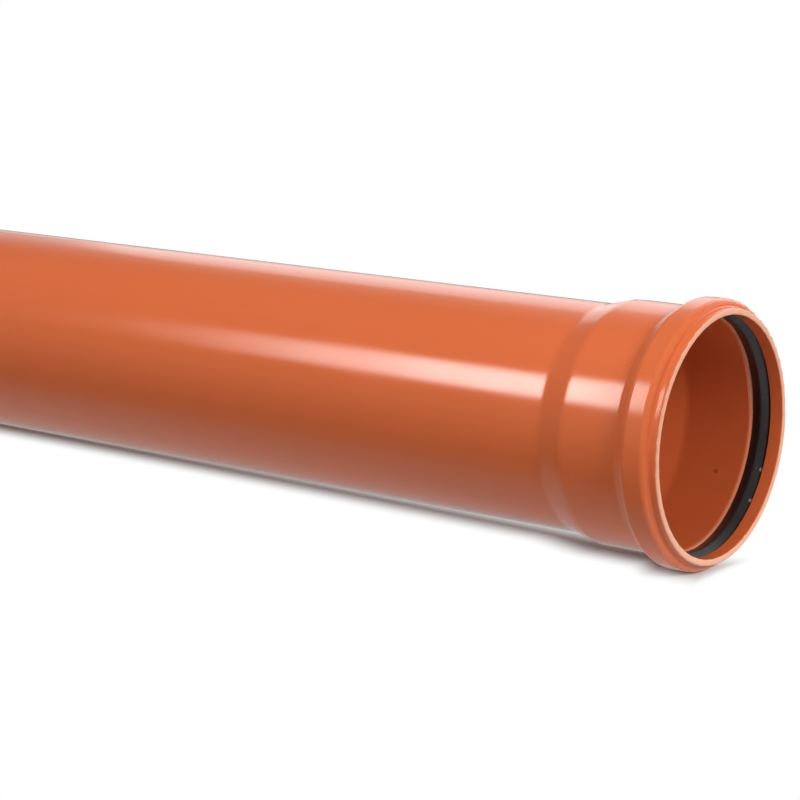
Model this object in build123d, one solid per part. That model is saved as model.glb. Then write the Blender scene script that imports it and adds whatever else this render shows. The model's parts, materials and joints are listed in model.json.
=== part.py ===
from build123d import *
import os
from math import asin, atan2, cos, degrees, hypot, radians, sin, tan

# PVC-U sewer pipe, DN 110: a plain end, a straight barrel and a ring-seal socket.
# It lies on a level floor, on the bead of its socket and on the edge of its plain end.
# Sections are drawn as (distance from the plain end, radius) and turned about the X axis.

# Barrel
pipe_diameter = 110.0
wall = 3.2
laying_length = 1000.0

# Plain end, bevelled so that it slides into the next socket
bevel_length = 6.0
bevel_angle = 15.0

# Socket, formed from the same wall, with its stop at the laying length
insertion_depth = 56.0
socket_clearance = 0.2
shoulder_length = 13.5
shoulder_past_stop = 4.5
shoulder_fillet = 12.0

# Groove that holds the seal, formed tightly round it
groove_depth = 5.1
groove_width = 6.4
groove_ramp = 2.6
groove_front_lean = 0.4
groove_fillet = 0.5
groove_foot_fillet = 2.5

# Bead outside the groove, softer at its back than the groove is
bead_width = 7.4
bead_ramp = 6.9
bead_foot_fillet = 1.0
bead_back_fillet = 4.0
bead_ridge_fillet = 2.8

# Mouth, in front of the groove
lip_length = 7.0
lip_clearance = 1.6
rim_outer_round = 1.2
rim_inner_round = 0.8

# Seal, in its fitted shape: it fills the groove, with its lip pressed back by an inserted pipe
seal_gap = 0.1
seal_lead_length = 3.0
seal_lead_rise = 2.0

# Radii and places along the axis that follow from the sizes above
pipe_radius = pipe_diameter / 2
bore_radius = pipe_radius - wall
socket_radius = pipe_radius + socket_clearance
groove_radius = socket_radius + groove_depth
lip_radius = pipe_radius + lip_clearance
mouth = laying_length + insertion_depth
groove_front = mouth - lip_length - groove_front_lean
groove_back = groove_front - groove_width


def offset_corners(corners, distance):
    """Corners of the same outline, moved outward by the wall with each bend mitred."""
    headings = []
    for (x0, r0), (x1, r1) in zip(corners, corners[1:]):
        headings.append(atan2(r1 - r0, x1 - x0))
    moved = [(corners[0][0] - distance * sin(headings[0]), corners[0][1] + distance * cos(headings[0]))]
    for (x, r), before, after in zip(corners[1:], headings, headings[1:]):
        middle = (before + after) / 2
        reach = distance / cos((after - before) / 2)
        moved.append((x - reach * sin(middle), r + reach * cos(middle)))
    moved.append((corners[-1][0] - distance * sin(headings[-1]), corners[-1][1] + distance * cos(headings[-1])))
    return moved


def wall_line(width, ramp):
    """Corners of the bore from the plain end to the mouth, with a groove of this width and back ramp."""
    back = groove_front - width
    shoulder_end = laying_length + shoulder_past_stop
    return [
        (0, bore_radius),
        (shoulder_end - shoulder_length, bore_radius),
        (shoulder_end, socket_radius),
        (back - ramp, socket_radius),
        (back, groove_radius),
        (groove_front, groove_radius),
        (groove_front + groove_front_lean, lip_radius),
        (mouth, lip_radius),
    ]


def pipe_outlines():
    """Corners of the inside and the outside of the wall, from the plain end to the mouth."""
    return wall_line(groove_width, groove_ramp), offset_corners(wall_line(bead_width, bead_ramp), wall)


def make_pipe():
    """The whole pipe as one turned solid."""
    inside, outside = pipe_outlines()
    bevel_drop = bevel_length * tan(radians(bevel_angle))
    plain_end = (0, pipe_radius - bevel_drop)
    outside[0] = (bevel_length, pipe_radius)
    inner_fillets = [0, shoulder_fillet, shoulder_fillet, groove_foot_fillet]
    inner_fillets += [groove_fillet, groove_fillet, groove_fillet, rim_inner_round]
    outer_fillets = [0, shoulder_fillet, shoulder_fillet, bead_foot_fillet]
    outer_fillets += [bead_back_fillet, bead_ridge_fillet, bead_foot_fillet, rim_outer_round]
    with BuildPart() as part:
        with BuildSketch(Plane.XZ):
            with BuildLine():
                FilletPolyline(
                    *inside,
                    *reversed(outside),
                    plain_end,
                    radius=[*inner_fillets, *reversed(outer_fillets), 0],
                    close=True,
                )
            make_face()
        revolve(axis=Axis.X)
    return part.part


def ramp_place(radius):
    """Place along the axis where the groove's back ramp has this radius."""
    return groove_back - groove_ramp * (groove_radius - radius) / groove_depth


def make_seal():
    """The rubber ring: it follows the groove's walls, and a slope at its front leads a pipe in."""
    front = groove_front - seal_gap
    inner_radius = socket_radius + seal_gap
    heel_radius = groove_radius - seal_gap
    ramp_gap = seal_gap * hypot(1, groove_ramp / groove_depth)
    with BuildPart() as part:
        with BuildSketch(Plane.XZ):
            with BuildLine():
                FilletPolyline(
                    (front, inner_radius + seal_lead_rise),
                    (front, heel_radius),
                    (ramp_place(heel_radius) + ramp_gap, heel_radius),
                    (ramp_place(inner_radius) + ramp_gap, inner_radius),
                    (front - seal_lead_length, inner_radius),
                    radius=groove_fillet,
                    close=True,
                )
            make_face()
        revolve(axis=Axis.X)
    return part.part


def resting_tilt():
    """Angle by which the axis rises to the socket when bead and plain end touch the floor."""
    _, outside = pipe_outlines()
    bead_back = outside[4]
    ramp_angle = atan2(bead_back[1] - outside[3][1], bead_back[0] - outside[3][0])
    centre_x = bead_back[0] + bead_back_fillet * tan(ramp_angle / 2)
    centre_r = bead_back[1] - bead_back_fillet
    run = centre_x - bevel_length
    rise = centre_r - pipe_radius
    return atan2(rise, run) + asin(bead_back_fillet / hypot(run, rise))


def resting_place(piece):
    """Where the piece lies at rest on the floor, with the origin under its middle."""
    tilt = Rot(0, -degrees(resting_tilt()), 0)
    box = (tilt * piece).bounding_box()
    middle = box.center()
    return Pos(-middle.X, -middle.Y, -box.min.Z) * tilt


os.makedirs("parts", exist_ok=True)
pipe = make_pipe()
seal_ring = make_seal()
place = resting_place(pipe)
for name, piece in (("pipe", pipe), ("seal_ring", seal_ring)):
    placed = place * piece
    placed.label = name
    export_step(placed, f"parts/{name}.step")
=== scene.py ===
import json
import math

import bpy
from mathutils import Matrix, Vector


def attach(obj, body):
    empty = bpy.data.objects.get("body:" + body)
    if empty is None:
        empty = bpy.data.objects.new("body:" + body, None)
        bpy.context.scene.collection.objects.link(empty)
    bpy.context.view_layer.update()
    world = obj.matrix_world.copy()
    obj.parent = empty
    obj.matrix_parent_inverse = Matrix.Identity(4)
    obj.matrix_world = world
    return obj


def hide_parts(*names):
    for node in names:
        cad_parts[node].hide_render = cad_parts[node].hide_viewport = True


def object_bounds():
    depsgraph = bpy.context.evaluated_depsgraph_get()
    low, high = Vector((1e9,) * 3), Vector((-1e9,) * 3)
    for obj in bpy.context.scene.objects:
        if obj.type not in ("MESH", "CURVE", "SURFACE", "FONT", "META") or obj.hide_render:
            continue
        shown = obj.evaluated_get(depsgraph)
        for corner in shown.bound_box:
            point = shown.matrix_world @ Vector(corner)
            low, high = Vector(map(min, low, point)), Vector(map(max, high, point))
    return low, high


bl_info = {
    "name": "Sewer pipe finish",
    "version": (1, 0, 0),
    "blender": (4, 5, 0),
    "location": "3D View > Sidebar > Sewer Pipe",
    "description": "Finishes a PVC sewer pipe, models its sealing ring and lights it for a photograph",
    "category": "Object",
}

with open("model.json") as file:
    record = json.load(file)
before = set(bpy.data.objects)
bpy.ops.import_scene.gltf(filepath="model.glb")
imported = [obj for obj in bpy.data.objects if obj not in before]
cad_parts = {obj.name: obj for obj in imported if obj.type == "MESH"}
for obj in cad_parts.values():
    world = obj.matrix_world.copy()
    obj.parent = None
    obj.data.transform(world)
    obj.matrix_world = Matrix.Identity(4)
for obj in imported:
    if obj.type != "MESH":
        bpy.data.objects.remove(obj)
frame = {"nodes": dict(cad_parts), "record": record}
cad_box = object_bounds()

# Where the pipe lies: its axis runs from the plain end to the mouth and rises a little
mounts = {mount["name"]: mount for mount in frame["record"]["mounts"]}
waterway = mounts["waterway"]
pipe_axis = Vector(mounts["socket"]["axis"])
plain_end = Vector(waterway["pos_m"]) - pipe_axis * waterway["dims"]["length_mm"] / 2000
pipe_tilt = math.atan2(pipe_axis.z, pipe_axis.x)
pipe_radius = mounts["spigot"]["dims"]["r_mm"] / 1000
MOUTH_PLACE = 1.056
BEVEL_LENGTH = 0.006
MILLIMETRE = 0.001

# The whole circle is turned in this many steps
RING_STEPS = 256


# Properties


class SealSizes(bpy.types.PropertyGroup):
    """Sizes of the sealing ring's section. Depths run back from the mouth."""

    heel_front: bpy.props.FloatProperty(
        name="Heel front", description="Depth of the heel's front face behind the mouth",
        default=0.0075, subtype="DISTANCE", unit="LENGTH")
    heel_width: bpy.props.FloatProperty(
        name="Heel width", description="Width of the heel along the pipe",
        default=0.0062, subtype="DISTANCE", unit="LENGTH")
    heel_radius: bpy.props.FloatProperty(
        name="Heel radius", description="Outside radius of the heel, in the groove",
        default=0.0602, subtype="DISTANCE", unit="LENGTH")
    lip_foot_radius: bpy.props.FloatProperty(
        name="Lip foot radius", description="Radius where the lip leaves the heel",
        default=0.0576, subtype="DISTANCE", unit="LENGTH")
    crest_radius: bpy.props.FloatProperty(
        name="Crest radius", description="Radius of the lip's crest, which a pipe pushes back",
        default=0.0544, subtype="DISTANCE", unit="LENGTH")
    crest_depth: bpy.props.FloatProperty(
        name="Crest depth", description="Depth of the lip's crest behind the mouth",
        default=0.0108, subtype="DISTANCE", unit="LENGTH")
    ramp_radius: bpy.props.FloatProperty(
        name="Ramp radius", description="Radius of the ring's back face halfway down the groove's ramp",
        default=0.0576, subtype="DISTANCE", unit="LENGTH")
    ramp_depth: bpy.props.FloatProperty(
        name="Ramp depth", description="Depth of the ring's back face halfway down the groove's ramp",
        default=0.0151, subtype="DISTANCE", unit="LENGTH")
    tail_radius: bpy.props.FloatProperty(
        name="Tail radius", description="Radius of the ring's thin back edge",
        default=0.0559, subtype="DISTANCE", unit="LENGTH")
    tail_depth: bpy.props.FloatProperty(
        name="Tail depth", description="Depth of the ring's thin back edge",
        default=0.0158, subtype="DISTANCE", unit="LENGTH")


class PipeColours(bpy.types.PropertyGroup):
    """Colours and gloss of the pipe and its sealing ring."""

    body: bpy.props.FloatVectorProperty(
        name="Body", description="Colour of the pipe's skin",
        default=(0.62, 0.130, 0.040), size=3, subtype="COLOR", min=0, max=1)
    rim: bpy.props.FloatVectorProperty(
        name="Cut rim", description="Paler colour of the cut rim at the mouth",
        default=(0.74, 0.37, 0.24), size=3, subtype="COLOR", min=0, max=1)
    rubber: bpy.props.FloatVectorProperty(
        name="Rubber", description="Colour of the sealing ring",
        default=(0.020, 0.017, 0.018), size=3, subtype="COLOR", min=0, max=1)
    roughness: bpy.props.FloatProperty(
        name="Roughness", description="Mean roughness of the pipe's skin",
        default=0.15, min=0, max=1, subtype="FACTOR")


class StageSettings(bpy.types.PropertyGroup):
    """Light levels of the stage."""

    sky: bpy.props.FloatProperty(
        name="Sky", description="Strength of the soft light from all round", default=0.18, min=0)
    strip: bpy.props.FloatProperty(
        name="Strip lamp", description="Strength of the strip lamp that the pipe's gloss mirrors",
        default=14.5, min=0)
    low: bpy.props.FloatProperty(
        name="Low lamp", description="Power of the lowest front lamp, in watts", default=8.8, min=0)
    middle: bpy.props.FloatProperty(
        name="Middle lamp", description="Power of the middle front lamp, in watts", default=12.3, min=0)
    high: bpy.props.FloatProperty(
        name="High lamp", description="Power of the highest front lamp, in watts", default=14.0, min=0)
    rear: bpy.props.FloatProperty(
        name="Rear lamp", description="Power of the lamp above and behind the pipe, in watts",
        default=4.2, min=0)
    edge: bpy.props.FloatProperty(
        name="Edge lamp",
        description="Power of the low lamp behind that shines along the upper edge, in watts",
        default=11.8, min=0)
    mouth: bpy.props.FloatProperty(
        name="Mouth lamp", description="Power of the lamp that shines into the mouth, in watts",
        default=28.0, min=0)
    rim: bpy.props.FloatProperty(
        name="Rim lamp",
        description="Power of the lamp behind that shines on the rim's inner edge, in watts",
        default=5.0, min=0)


# Nodes


def add_node(tree, kind, inputs=None, **settings):
    """Adds a shader node, sets it, and fills its inputs with values or links."""
    node = tree.nodes.new(kind)
    for name, value in settings.items():
        setattr(node, name, value)
    for name, value in (inputs or {}).items():
        if isinstance(value, bpy.types.NodeSocket):
            tree.links.new(value, node.inputs[name])
        else:
            node.inputs[name].default_value = value
    return node


def calculate(tree, operation, first, second=0.0):
    """One step of arithmetic on two sockets or numbers."""
    return add_node(tree, "ShaderNodeMath", {0: first, 1: second}, operation=operation).outputs[0]


def ease(tree, value, start, end, low=0.0, high=1.0):
    """A smooth step from low at start to high at end."""
    return add_node(
        tree, "ShaderNodeMapRange",
        {"Value": value, "From Min": start, "From Max": end, "To Min": low, "To Max": high},
        interpolation_type="SMOOTHSTEP").outputs["Result"]


def noise(tree, place, stretch, detail=3.0, roughness=0.5):
    """Noise with this many cycles a metre along and across the pipe."""
    scaled = add_node(tree, "ShaderNodeMapping", {"Vector": place, "Scale": stretch})
    return add_node(
        tree, "ShaderNodeTexNoise",
        {"Vector": scaled.outputs[0], "Scale": 1.0, "Detail": detail, "Roughness": roughness}).outputs["Fac"]


def mix_colours(tree, share, first, second):
    """Mixes two colours, given as sockets or as RGB."""
    node = add_node(tree, "ShaderNodeMix", data_type="RGBA")
    for index, value in ((0, share), (6, first), (7, second)):
        if isinstance(value, bpy.types.NodeSocket):
            tree.links.new(value, node.inputs[index])
        elif index:
            node.inputs[index].default_value = (*value, 1.0)
        else:
            node.inputs[index].default_value = value
    return node.outputs[2]


def spot(tree, place, centre, radius):
    """1 inside a small ball round this point, easing to 0 just outside it."""
    distance = add_node(
        tree, "ShaderNodeVectorMath", {0: place, 1: centre}, operation="DISTANCE").outputs["Value"]
    return ease(tree, distance, radius * 0.7, radius * 1.2, 1.0, 0.0)


def bump(tree, height, depth, below=None):
    """A bump of this depth in metres, laid over the bump below."""
    inputs = {"Height": height, "Distance": depth, "Strength": 1.0}
    if below:
        inputs["Normal"] = below
    return add_node(tree, "ShaderNodeBump", inputs).outputs[0]


def new_material(name):
    """A new node material: its tree and its shader."""
    material = bpy.data.materials.new(name)
    material.use_nodes = True
    tree = material.node_tree
    return material, tree, tree.nodes["Principled BSDF"]


def pipe_place(tree):
    """Object coordinates turned to the pipe: X runs from the plain end to the mouth."""
    coordinates = add_node(tree, "ShaderNodeTexCoord").outputs["Object"]
    return add_node(
        tree, "ShaderNodeMapping",
        {"Vector": coordinates, "Location": plain_end, "Rotation": (0, -pipe_tilt, 0)},
        vector_type="TEXTURE").outputs[0]


def shade(colour, factor):
    """The same colour, lighter or darker."""
    return tuple(min(1.0, channel * factor) for channel in colour)


# Small marks, in the pipe's own place: a fleck on the socket's bore and two dots on the ring
BORE_FLECK = (MOUTH_PLACE - 0.0301, 0.0464, -0.0298)
FLECK_RADIUS = 1.2 * MILLIMETRE
FLECK_SHARE = 0.6
FLECK_SHADE = 0.35
RING_DOTS = ((MOUTH_PLACE - 0.0080, 0.0412, -0.0401), (MOUTH_PLACE - 0.0080, 0.0509, -0.0268))
DOT_RADIUS = 1.0 * MILLIMETRE

# Patterns on the pipe, in cycles a metre along it and across it
CLOUDS = (3.0, 14.0, 14.0)
DIE_LINES = (1.2, 420.0, 420.0)
SPECKS = (420.0, 420.0, 420.0)
SCRATCHES = (16.0, 1100.0, 1100.0)
SMUDGES = (22.0, 40.0, 40.0)
WAVES = (9.0, 20.0, 20.0)
PEEL = (260.0, 420.0, 420.0)
SAW_MARKS = (1.0, 90.0, 1500.0)
TURNED_PITCH = 0.4 * MILLIMETRE

# Noise levels between which a pattern comes in
SPECK_LEVELS = (0.74, 0.80)
SCRATCH_LEVELS = (0.76, 0.82)
MIDDLE_LEVELS = (0.3, 0.7)

# Shades of the body colour, and how far each pattern mixes in
CLOUD_SHADES = (0.95, 1.05)
DIE_LINE_SHADE = 0.80
DIE_LINE_SHARE = 0.16
SPECK_SHARE = 0.18

# Depths of the pipe's bumps
WAVE_DEPTH = 0.10 * MILLIMETRE
DIE_LINE_DEPTH = 0.004 * MILLIMETRE
PEEL_DEPTH = 0.003 * MILLIMETRE
SCRATCH_DEPTH = -0.002 * MILLIMETRE
TURNED_DEPTH = 0.008 * MILLIMETRE
SAW_DEPTH = 0.15 * MILLIMETRE

# The groove's foot: its depth behind the mouth. Along it lies a painted highlight: how far from it
# the paler colour fades, and the radii between which it fades
GROOVE_FOOT = 0.0165
FOOT_HIGHLIGHT_FADE = (0.3 * MILLIMETRE, 1.0 * MILLIMETRE)
FOOT_HIGHLIGHT_RADII = (0.0568, 0.0578)
FOOT_HIGHLIGHT_SHARE = 0.35

# The cut ends: where each begins and ends along the pipe, and how pale it is
RIM_EDGE = (MOUTH_PLACE - 0.8 * MILLIMETRE, MOUTH_PLACE - 0.1 * MILLIMETRE)
TURNED_EDGE = (BEVEL_LENGTH - 0.1 * MILLIMETRE, BEVEL_LENGTH + 0.1 * MILLIMETRE)
SAWN_EDGE = (0.02 * MILLIMETRE, 0.08 * MILLIMETRE)
TURNED_SHARE = 0.35
SAWN_SHARE = 0.7

# Gloss: the smudges' range round the mean roughness, and what scratches and cuts add
SMUDGE_RANGE = (0.85, 1.2)
SCRATCH_ROUGHNESS = 0.1
CUT_ROUGHNESS = 0.3
PVC_IOR = 1.53

# The rubber
MOTTLE = (160.0, 160.0, 160.0)
DUST = (700.0, 700.0, 700.0)
GRAIN = (900.0, 900.0, 900.0)
DUST_LEVELS = (0.73, 0.78)
RUBBER_SHADES = (0.7, 1.6)
DUST_COLOUR = (0.36, 0.32, 0.32)
DUST_SHARE = 0.7
RUBBER_ROUGHNESS = (0.30, 0.44)
GRAIN_DEPTH = 0.01 * MILLIMETRE
RUBBER_IOR = 1.52


def pvc_material(colours):
    """Glossy extruded PVC: faint lines along the pipe, a paler cut rim and a turned plain end."""
    material, tree, shader = new_material("pvc")
    place = pipe_place(tree)
    along = add_node(tree, "ShaderNodeSeparateXYZ", {"Vector": place}).outputs["X"]

    # The skin: cloudy colour, fine lines from the die, and a few specks and scratches
    cloud = noise(tree, place, CLOUDS)
    streak = noise(tree, place, DIE_LINES, detail=2.0)
    skin = mix_colours(tree, cloud, *(shade(colours.body, factor) for factor in CLOUD_SHADES))
    share = calculate(tree, "MULTIPLY", streak, DIE_LINE_SHARE)
    skin = mix_colours(tree, share, skin, shade(colours.body, DIE_LINE_SHADE))
    speck = ease(tree, noise(tree, place, SPECKS, detail=2.0), *SPECK_LEVELS)
    share = calculate(tree, "MULTIPLY", speck, SPECK_SHARE)
    skin = mix_colours(tree, share, skin, tuple(colours.rim))
    scratch = ease(tree, noise(tree, place, SCRATCHES, detail=1.0), *SCRATCH_LEVELS)
    fleck = spot(tree, place, BORE_FLECK, FLECK_RADIUS)
    share = calculate(tree, "MULTIPLY", fleck, FLECK_SHARE)
    skin = mix_colours(tree, share, skin, shade(colours.body, FLECK_SHADE))

    # A painted highlight along the groove's foot: a paler colour where the bend catches the light
    outward = add_node(
        tree, "ShaderNodeVectorMath", {0: place, 1: (0, 1, 1)}, operation="MULTIPLY").outputs[0]
    from_axis = add_node(
        tree, "ShaderNodeVectorMath", {0: outward}, operation="LENGTH").outputs["Value"]
    from_groove_foot = calculate(tree, "SUBTRACT", along, MOUTH_PLACE - GROOVE_FOOT)
    from_groove_foot = calculate(tree, "ABSOLUTE", from_groove_foot)
    painted_highlight = ease(tree, from_groove_foot, *FOOT_HIGHLIGHT_FADE, 1.0, 0.0)
    painted_highlight = calculate(tree, "MULTIPLY", painted_highlight, ease(tree, from_axis, *FOOT_HIGHLIGHT_RADII, 1.0, 0.0))
    share = calculate(tree, "MULTIPLY", painted_highlight, FOOT_HIGHLIGHT_SHARE)
    skin = mix_colours(tree, share, skin, tuple(colours.rim))

    # The cut ends: the rim, the turned bevel with its fine rings, and the sawn face
    rim = ease(tree, along, *RIM_EDGE)
    turned = ease(tree, along, *TURNED_EDGE, 1.0, 0.0)
    sawn = ease(tree, along, *SAWN_EDGE, 1.0, 0.0)
    pale = calculate(tree, "MAXIMUM", rim, calculate(tree, "MULTIPLY", turned, TURNED_SHARE))
    pale = calculate(tree, "MAXIMUM", pale, calculate(tree, "MULTIPLY", sawn, SAWN_SHARE))
    colour = mix_colours(tree, pale, skin, tuple(colours.rim))

    smudge = noise(tree, place, SMUDGES, detail=4.0)
    glossiest, dullest = (colours.roughness * factor for factor in SMUDGE_RANGE)
    gloss = ease(tree, smudge, *MIDDLE_LEVELS, glossiest, dullest)
    gloss = calculate(tree, "ADD", gloss, calculate(tree, "MULTIPLY", scratch, SCRATCH_ROUGHNESS))
    cut = calculate(tree, "MULTIPLY", calculate(tree, "MAXIMUM", rim, turned), CUT_ROUGHNESS)
    roughness = calculate(tree, "ADD", gloss, cut)

    wave = noise(tree, place, WAVES, detail=1.0)
    peel = noise(tree, place, PEEL, detail=1.0)
    turns = calculate(tree, "MULTIPLY", along, 2 * math.pi / TURNED_PITCH)
    rings = calculate(tree, "SINE", turns)
    saw_marks = noise(tree, place, SAW_MARKS, detail=2.0)
    normal = bump(tree, wave, WAVE_DEPTH)
    normal = bump(tree, streak, DIE_LINE_DEPTH, normal)
    normal = bump(tree, peel, PEEL_DEPTH, normal)
    normal = bump(tree, scratch, SCRATCH_DEPTH, normal)
    normal = bump(tree, calculate(tree, "MULTIPLY", rings, turned), TURNED_DEPTH, normal)
    normal = bump(tree, calculate(tree, "MULTIPLY", saw_marks, sawn), SAW_DEPTH, normal)

    tree.links.new(colour, shader.inputs["Base Color"])
    tree.links.new(roughness, shader.inputs["Roughness"])
    tree.links.new(normal, shader.inputs["Normal"])
    shader.inputs["IOR"].default_value = PVC_IOR
    return material


def rubber_material(colours):
    """Black moulded rubber with a low sheen, a trace of dust and two small dots."""
    material, tree, shader = new_material("seal_rubber")
    place = pipe_place(tree)
    mottle = noise(tree, place, MOTTLE, detail=4.0)
    colour = mix_colours(tree, mottle, *(shade(colours.rubber, factor) for factor in RUBBER_SHADES))
    dust = ease(tree, noise(tree, place, DUST, detail=2.0), *DUST_LEVELS)
    for centre in RING_DOTS:
        dust = calculate(tree, "MAXIMUM", dust, spot(tree, place, centre, DOT_RADIUS))
    share = calculate(tree, "MULTIPLY", dust, DUST_SHARE)
    colour = mix_colours(tree, share, colour, DUST_COLOUR)
    tree.links.new(colour, shader.inputs["Base Color"])
    roughness = ease(tree, mottle, *MIDDLE_LEVELS, *RUBBER_ROUGHNESS)
    tree.links.new(roughness, shader.inputs["Roughness"])
    grain = noise(tree, place, GRAIN, detail=2.0)
    tree.links.new(bump(tree, grain, GRAIN_DEPTH), shader.inputs["Normal"])
    shader.inputs["IOR"].default_value = RUBBER_IOR
    return material


# Modelling


# Two points this close are taken as one place, and doubles this close are merged
SAME_PLACE = 0.01 * MILLIMETRE
MERGE_DISTANCE = 0.001 * MILLIMETRE
SMOOTH_ANGLE = math.radians(50)


def select_only(piece):
    """Makes this the one selected and active object."""
    bpy.ops.object.select_all(action="DESELECT")
    piece.select_set(True)
    bpy.context.view_layer.objects.active = piece


def open_for_editing(piece):
    """Opens the piece in edit mode with no point selected."""
    select_only(piece)
    bpy.ops.object.mode_set(mode="EDIT")
    bpy.ops.mesh.select_mode(type="VERT")
    bpy.ops.mesh.select_all(action="DESELECT")


def select_points(piece, places):
    """Selects the points that lie at these places and no others. Call it in edit mode."""
    bpy.ops.mesh.select_all(action="DESELECT")
    bpy.ops.object.mode_set(mode="OBJECT")
    for point in piece.data.vertices:
        point.select = any((point.co - place).length < SAME_PLACE for place in places)
    bpy.ops.object.mode_set(mode="EDIT")


def move_point(piece, start, end):
    """Moves the point at one place to another. Call it in edit mode."""
    select_points(piece, [start])
    bpy.ops.transform.translate(value=end - start)


def lay_along_pipe(piece):
    """Turns a finished piece from the X axis onto the pipe's own axis and settles it in its mesh."""
    piece.matrix_world = Matrix.Translation(plain_end) @ Matrix.Rotation(-pipe_tilt, 4, "Y")
    select_only(piece)
    bpy.ops.object.transform_apply(location=True, rotation=True, scale=True)


def section_place(depth, radius):
    """Place of a corner of the ring's section, above the axis and this deep behind the mouth."""
    return Vector((MOUTH_PLACE - depth, 0, radius))


def make_seal(sizes):
    """The ring's section is drawn at the top of the groove and turned round the pipe's axis."""
    heel_top_front = section_place(sizes.heel_front, sizes.heel_radius)
    heel_top_back = section_place(sizes.heel_front + sizes.heel_width, sizes.heel_radius)
    lip_foot = section_place(sizes.heel_front, sizes.lip_foot_radius)
    heel_foot_back = section_place(sizes.heel_front + sizes.heel_width, sizes.lip_foot_radius)
    ramp_foot = section_place(sizes.ramp_depth, sizes.ramp_radius)
    crest = section_place(sizes.crest_depth, sizes.crest_radius)
    tail = section_place(sizes.tail_depth, sizes.tail_radius)

    bpy.ops.object.select_all(action="DESELECT")
    bpy.ops.mesh.primitive_plane_add(
        size=1.0, location=(heel_top_front + heel_foot_back) / 2, rotation=(math.pi / 2, 0, 0))
    ring = bpy.context.active_object
    ring.name = "lip_seal"
    ring.data.name = "lip_seal"
    ring.scale = (sizes.heel_width, sizes.heel_radius - sizes.lip_foot_radius, 1)
    bpy.ops.object.transform_apply(location=True, rotation=True, scale=True)

    # The lip: the heel's inner edge drawn in towards the axis, to the crest and to the thin tail
    open_for_editing(ring)
    move_point(ring, heel_foot_back, ramp_foot)
    select_points(ring, [lip_foot, ramp_foot])
    inward = crest - lip_foot
    bpy.ops.mesh.extrude_region_move(TRANSFORM_OT_translate={"value": inward})
    move_point(ring, ramp_foot + inward, tail)
    bpy.ops.mesh.select_all(action="SELECT")
    bpy.ops.mesh.dissolve_faces()

    # Rounded corners: soft at the crest, small on the heel and fine at the tail
    roundings = (
        ([crest], 0.7, 4),
        ([heel_top_front, heel_top_back, lip_foot], 0.4, 3),
        ([tail], 0.15, 2),
    )
    for corners, size, steps in roundings:
        select_points(ring, corners)
        bpy.ops.mesh.bevel(
            offset=size * MILLIMETRE, offset_type="OFFSET", segments=steps, affect="VERTICES")

    # Only the section's outline is turned, so its face is left out
    bpy.ops.mesh.select_all(action="SELECT")
    bpy.ops.mesh.delete(type="ONLY_FACE")
    bpy.ops.mesh.select_all(action="SELECT")
    bpy.ops.mesh.spin(steps=RING_STEPS, angle=2 * math.pi, center=(0, 0, 0), axis=(1, 0, 0))
    bpy.ops.mesh.select_all(action="SELECT")
    bpy.ops.mesh.remove_doubles(threshold=MERGE_DISTANCE)
    bpy.ops.mesh.normals_make_consistent(inside=False)
    bpy.ops.object.mode_set(mode="OBJECT")
    select_only(ring)
    bpy.ops.object.shade_smooth_by_angle(angle=SMOOTH_ANGLE)
    lay_along_pipe(ring)
    return ring


# Stage


# Where the floor goes over from shadow to white: in front of the pipe, behind it and past its
# ends
FLOOR_SIZE = 24.0
FLOOR_COLOUR = (0.74, 0.84, 0.86, 1)
MIRRORED_FLOOR = 0.55
SHADOW_FRONT = (-0.009, 0.0155)
SHADOW_BACK = (0.000, 0.030)
SHADOW_END = (-0.006, 0.004)

# Where along the pipe the shadow in front narrows or widens, and by how much
SHADOW_BARREL = (-0.10, 0.34)
SHADOW_SOCKET = (0.425, 0.465)
SHADOW_BEAD = (0.490, 0.505)
BARREL_REACH = 0.007
SOCKET_REACH = 0.009

# What gloss sees of the sky: grey in front, white behind, and where it goes over
SKY_TURN = (0.25, 0.85)
SKY_IN_FRONT = 0.15

# Cards on the floor: they begin in front of the pipe and behind it, and are soft there
CARD_LENGTH = 6.0
CARD_REACH = 3.0
CARD_EDGE = (0.045, 0.12)
CARD_HEIGHT = 0.5 * MILLIMETRE
CARD_COLOUR = (0.05, 0.05, 0.05, 1)
MATT = 0.9

# The strip lamp: how high it stands above the horizon, seen from the pipe, and where along the
# pipe it ends and fades
STRIP_HEIGHT_ANGLE = math.radians(37.3)
STRIP_DISTANCE = 1.5
STRIP_HALF_WIDTH = 0.42
STRIP_CORE = 0.16
STRIP_ENDS = (-1.30, -0.34)
STRIP_FADE = (-1.14, -0.40)
STRIP_FAR_LEVEL = 0.02

# The arc of soft lamps round the pipe, each between two heights in degrees
ARC_RADIUS = 2.0
ARC_MIDDLE = 0.15
ARC_LENGTH = 1.4
LOW_HEIGHTS = (0, 25)
MIDDLE_HEIGHTS = (25, 55)
HIGH_HEIGHTS = (55, 90)
REAR_HEIGHTS = (90, 130)

# Single lamps: place, target and size
MOUTH_TARGET = (0.5, 0, 0.06)
EDGE_LAMP = ((-0.6, 2.2, 1.1), (-0.6, 0, 0.06), (3.2, 1.5))
MOUTH_LAMP = ((2.2, -0.45, 1.0), MOUTH_TARGET, (0.6, 0.6))
RIM_LAMP = ((1.2, 0.9, 0.35), MOUTH_TARGET, (0.5, 0.5))

CAMERA_PLACE = Vector((1.0552, -0.9429, 0.3253))
CAMERA_DIRECTION = Vector((-0.5881, 0.7776, -0.2223))
SENSOR_WIDTH = 36.0
LENS = 108.29


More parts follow.
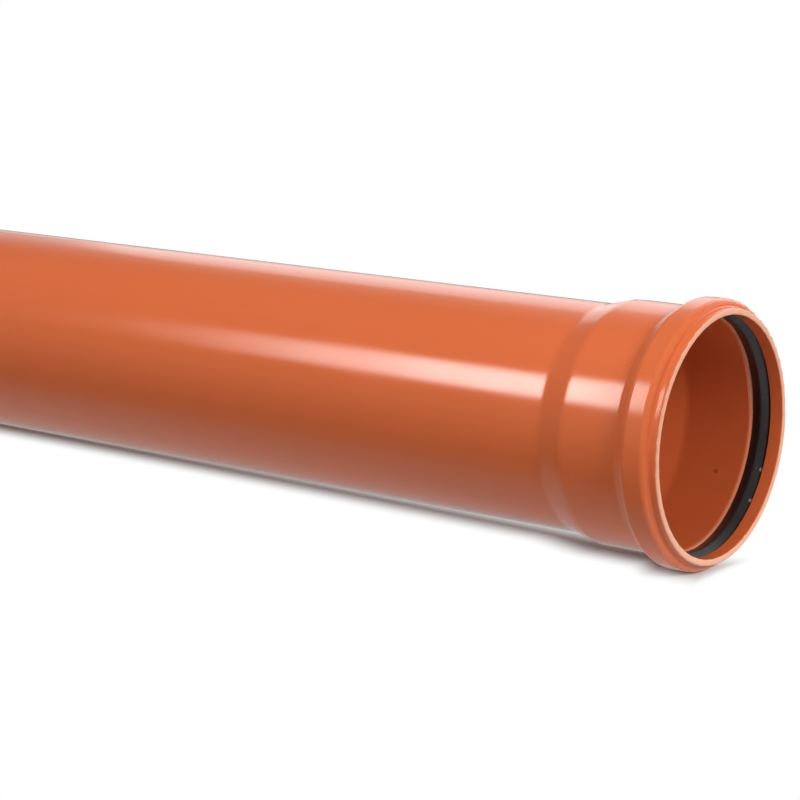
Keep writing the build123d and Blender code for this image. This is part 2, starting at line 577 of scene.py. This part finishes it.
def make_floor():
    """A pale floor. It shows white, save near the pipe, where it keeps the pipe's shadow."""
    bpy.ops.object.select_all(action="DESELECT")
    bpy.ops.mesh.primitive_plane_add(size=FLOOR_SIZE, location=(0, 0, 0))
    floor = bpy.context.active_object
    floor.name = "floor"
    material, tree, shader = new_material("floor")
    place = add_node(tree, "ShaderNodeTexCoord").outputs["Object"]
    parts = add_node(tree, "ShaderNodeSeparateXYZ", {"Vector": place})
    along, across = parts.outputs["X"], parts.outputs["Y"]

    # The shadow reaches further out beside the socket, and further still beside its bead
    reach = ease(tree, along, *SHADOW_BARREL, BARREL_REACH, 0.0)
    for widening in (SHADOW_SOCKET, SHADOW_BEAD):
        reach = calculate(tree, "ADD", reach, ease(tree, along, *widening, 0.0, SOCKET_REACH))
    toward_camera = calculate(tree, "MULTIPLY", across, -1.0)
    away = ease(tree, calculate(tree, "SUBTRACT", toward_camera, reach), *SHADOW_FRONT)
    away = calculate(tree, "MAXIMUM", away, ease(tree, across, *SHADOW_BACK))
    past_end = calculate(tree, "SUBTRACT", calculate(tree, "ABSOLUTE", along), cad_box[1].x)
    away = calculate(tree, "MAXIMUM", away, ease(tree, past_end, *SHADOW_END))

    rays = add_node(tree, "ShaderNodeLightPath").outputs
    seen = calculate(tree, "MULTIPLY", rays["Is Camera Ray"], away)
    seen = calculate(tree, "MAXIMUM", seen, rays["Is Glossy Ray"])
    seen = calculate(tree, "MAXIMUM", seen, rays["Is Transmission Ray"])
    level = ease(tree, rays["Is Glossy Ray"], 0.0, 1.0, 1.0, MIRRORED_FLOOR)
    white = add_node(tree, "ShaderNodeEmission", {"Color": (1, 1, 1, 1), "Strength": level})
    mixed = add_node(tree, "ShaderNodeMixShader", {0: seen, 1: shader.outputs[0], 2: white.outputs[0]})
    tree.links.new(mixed.outputs[0], tree.nodes["Material Output"].inputs["Surface"])
    shader.inputs["Base Color"].default_value = FLOOR_COLOUR
    shader.inputs["Roughness"].default_value = MATT
    shader.inputs["Specular IOR Level"].default_value = 0.0
    floor.data.materials.append(material)


def make_sky(strength):
    """Soft light from all round. The camera sees white. Gloss sees white behind, grey in front."""
    world = bpy.data.worlds.new("studio")
    bpy.context.scene.world = world
    world.use_nodes = True
    tree = world.node_tree
    tree.nodes.clear()
    direction = add_node(tree, "ShaderNodeTexCoord").outputs["Generated"]
    backward = add_node(tree, "ShaderNodeSeparateXYZ", {"Vector": direction}).outputs["Y"]
    rays = add_node(tree, "ShaderNodeLightPath").outputs
    mirrored = ease(tree, backward, *SKY_TURN, SKY_IN_FRONT, 1.0)
    level = calculate(tree, "MULTIPLY", rays["Is Glossy Ray"], mirrored)
    plain = calculate(tree, "MAXIMUM", rays["Is Camera Ray"], rays["Is Transmission Ray"])
    level = calculate(tree, "MAXIMUM", level, plain)
    seen = calculate(tree, "MAXIMUM", plain, rays["Is Glossy Ray"])
    soft = add_node(tree, "ShaderNodeBackground", {"Color": (1, 1, 1, 1), "Strength": strength})
    white = add_node(tree, "ShaderNodeBackground", {"Color": (1, 1, 1, 1), "Strength": level})
    mixed = add_node(tree, "ShaderNodeMixShader", {0: seen, 1: soft.outputs[0], 2: white.outputs[0]})
    output = add_node(tree, "ShaderNodeOutputWorld")
    tree.links.new(mixed.outputs[0], output.inputs["Surface"])


def make_card(name, front, back):
    """A dark card flat on the floor that deepens the gloss. The camera doesn't see it."""
    bpy.ops.object.select_all(action="DESELECT")
    bpy.ops.mesh.primitive_plane_add(size=1.0, location=(0, (front + back) / 2, CARD_HEIGHT))
    card = bpy.context.active_object
    card.name = name
    card.scale = (CARD_LENGTH, back - front, 1)
    bpy.ops.object.transform_apply(location=True, rotation=True, scale=True)
    material, tree, shader = new_material(name)
    shader.inputs["Base Color"].default_value = CARD_COLOUR
    shader.inputs["Roughness"].default_value = MATT
    place = add_node(tree, "ShaderNodeTexCoord").outputs["Object"]
    across = add_node(tree, "ShaderNodeSeparateXYZ", {"Vector": place}).outputs["Y"]
    cover = ease(tree, calculate(tree, "ABSOLUTE", across), *CARD_EDGE)
    clear = add_node(tree, "ShaderNodeBsdfTransparent")
    mixed = add_node(tree, "ShaderNodeMixShader", {0: cover, 1: clear.outputs[0], 2: shader.outputs[0]})
    tree.links.new(mixed.outputs[0], tree.nodes["Material Output"].inputs["Surface"])
    card.data.materials.append(material)
    card.visible_camera = False
    card.visible_shadow = False


def make_strip_lamp(strength):
    """A strip lamp along the pipe for its gloss alone. It fades towards its far end and its sides."""
    length = STRIP_ENDS[1] - STRIP_ENDS[0]
    middle = (STRIP_ENDS[0] + STRIP_ENDS[1]) / 2
    out = Vector((0, -math.cos(STRIP_HEIGHT_ANGLE), math.sin(STRIP_HEIGHT_ANGLE)))
    place = out * STRIP_DISTANCE + Vector((middle, 0, pipe_radius))
    bpy.ops.object.select_all(action="DESELECT")
    bpy.ops.mesh.primitive_plane_add(
        size=1.0, location=place, rotation=(math.pi / 2 - STRIP_HEIGHT_ANGLE, 0, 0))
    lamp = bpy.context.active_object
    lamp.name = "strip_lamp"
    lamp.scale = (length, 2 * STRIP_HALF_WIDTH, 1)
    bpy.ops.object.transform_apply(location=True, rotation=True, scale=True)
    material = bpy.data.materials.new("strip_lamp")
    material.use_nodes = True
    tree = material.node_tree
    tree.nodes.clear()
    coordinates = add_node(tree, "ShaderNodeTexCoord").outputs["Object"]
    along = add_node(tree, "ShaderNodeSeparateXYZ", {"Vector": coordinates}).outputs["X"]
    fade = ease(tree, along, *STRIP_FADE, STRIP_FAR_LEVEL, 1.0)
    sideways = Vector((0, math.sin(STRIP_HEIGHT_ANGLE), math.cos(STRIP_HEIGHT_ANGLE)))
    height = add_node(
        tree, "ShaderNodeVectorMath", {0: coordinates, 1: sideways},
        operation="DOT_PRODUCT").outputs["Value"]
    from_middle = calculate(tree, "SUBTRACT", height, place.dot(sideways))
    from_middle = calculate(tree, "ABSOLUTE", from_middle)
    glow_across = ease(tree, from_middle, STRIP_CORE, STRIP_HALF_WIDTH, 1.0, 0.0)
    level = calculate(tree, "MULTIPLY", calculate(tree, "MULTIPLY", fade, glow_across), strength)
    glow = add_node(tree, "ShaderNodeEmission", {"Strength": level})
    output = add_node(tree, "ShaderNodeOutputMaterial")
    tree.links.new(glow.outputs[0], output.inputs["Surface"])
    lamp.data.materials.append(material)
    lamp.visible_camera = False
    lamp.visible_shadow = False
    lamp.visible_diffuse = False


def make_area_lamp(name, place, target, size, power, mirrored=False):
    """A rectangular soft lamp that faces a target. It lights the gloss alone, or all but the gloss."""
    bpy.ops.object.select_all(action="DESELECT")
    bpy.ops.object.light_add(type="AREA", location=place)
    lamp = bpy.context.active_object
    lamp.name = name
    lamp.data.shape = "RECTANGLE"
    lamp.data.size, lamp.data.size_y = size
    lamp.data.energy = power
    lamp.visible_glossy = mirrored
    lamp.visible_diffuse = not mirrored
    lamp.rotation_euler = (Vector(target) - Vector(place)).to_track_quat("-Z", "Y").to_euler()


def make_arc_lamp(name, start, end, power):
    """A long soft lamp between two heights, in degrees, on an arc over the pipe."""
    angle = math.radians((start + end) / 2)
    height = 2 * ARC_RADIUS * math.sin(math.radians(end - start) / 2)
    target = (ARC_MIDDLE, 0, pipe_radius)
    forward, upward = -ARC_RADIUS * math.cos(angle), ARC_RADIUS * math.sin(angle)
    place = (ARC_MIDDLE, forward, pipe_radius + upward)
    make_area_lamp(name, place, target, (ARC_LENGTH, height), power)


def make_camera():
    """The camera stands where a fit to the photograph's edges puts it."""
    bpy.ops.object.select_all(action="DESELECT")
    bpy.ops.object.camera_add(location=CAMERA_PLACE)
    camera = bpy.context.active_object
    camera.rotation_euler = CAMERA_DIRECTION.to_track_quat("-Z", "Y").to_euler()
    camera.data.sensor_width = SENSOR_WIDTH
    camera.data.lens = LENS
    bpy.context.scene.camera = camera


# Operators


class PIPE_OT_finish(bpy.types.Operator):
    """Gives the pipe its glossy PVC finish"""

    bl_idname = "sewer_pipe.finish_pipe"
    bl_label = "Finish pipe"

    def execute(self, context):
        pipe = frame["nodes"]["pipe"]
        pipe.data.materials.clear()
        pipe.data.materials.append(pvc_material(context.scene.pipe_colours))
        return {"FINISHED"}


class PIPE_OT_seal(bpy.types.Operator):
    """Models the sealing ring in the socket's groove"""

    bl_idname = "sewer_pipe.make_seal"
    bl_label = "Make sealing ring"

    def execute(self, context):
        ring = make_seal(context.scene.seal_sizes)
        ring.data.materials.append(rubber_material(context.scene.pipe_colours))
        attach(ring, "root")
        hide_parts("seal_ring")
        return {"FINISHED"}


class PIPE_OT_stage(bpy.types.Operator):
    """Sets the floor, the lamps and the camera"""

    bl_idname = "sewer_pipe.make_stage"
    bl_label = "Make stage"

    def execute(self, context):
        settings = context.scene.stage_settings
        context.scene.view_settings.view_transform = "Standard"
        make_floor()
        make_sky(settings.sky)
        make_strip_lamp(settings.strip)
        make_arc_lamp("low_lamp", *LOW_HEIGHTS, settings.low)
        make_arc_lamp("middle_lamp", *MIDDLE_HEIGHTS, settings.middle)
        make_arc_lamp("high_lamp", *HIGH_HEIGHTS, settings.high)
        make_arc_lamp("rear_lamp", *REAR_HEIGHTS, settings.rear)
        make_area_lamp("edge_lamp", *EDGE_LAMP, settings.edge, mirrored=True)
        make_area_lamp("mouth_lamp", *MOUTH_LAMP, settings.mouth)
        make_area_lamp("rim_lamp", *RIM_LAMP, settings.rim)
        make_card("front_card", -CARD_REACH, -CARD_EDGE[0])
        make_card("back_card", CARD_EDGE[1], CARD_REACH)
        make_camera()
        return {"FINISHED"}


class PIPE_PT_panel(bpy.types.Panel):
    """Lists the steps that finish the pipe"""

    bl_idname = "PIPE_PT_panel"
    bl_label = "Sewer Pipe"
    bl_space_type = "VIEW_3D"
    bl_region_type = "UI"
    bl_category = "Sewer Pipe"

    def draw(self, context):
        layout = self.layout
        for operator in operators:
            layout.operator(operator.bl_idname)
        for group in (context.scene.pipe_colours, context.scene.seal_sizes, context.scene.stage_settings):
            box = layout.box()
            for name in group.bl_rna.properties.keys():
                if name not in ("rna_type", "name"):
                    box.prop(group, name)


operators = (PIPE_OT_finish, PIPE_OT_seal, PIPE_OT_stage)
groups = {"seal_sizes": SealSizes, "pipe_colours": PipeColours, "stage_settings": StageSettings}


def register():
    for added in (*groups.values(), *operators, PIPE_PT_panel):
        bpy.utils.register_class(added)
    for name, group in groups.items():
        setattr(bpy.types.Scene, name, bpy.props.PointerProperty(type=group))


def unregister():
    for name in groups:
        delattr(bpy.types.Scene, name)
    for added in reversed((*groups.values(), *operators, PIPE_PT_panel)):
        bpy.utils.unregister_class(added)


def main():
    """Finishes the pipe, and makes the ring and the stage."""
    register()
    bpy.ops.sewer_pipe.finish_pipe()
    bpy.ops.sewer_pipe.make_seal()
    bpy.ops.sewer_pipe.make_stage()


if __name__ == "__main__":
    main()
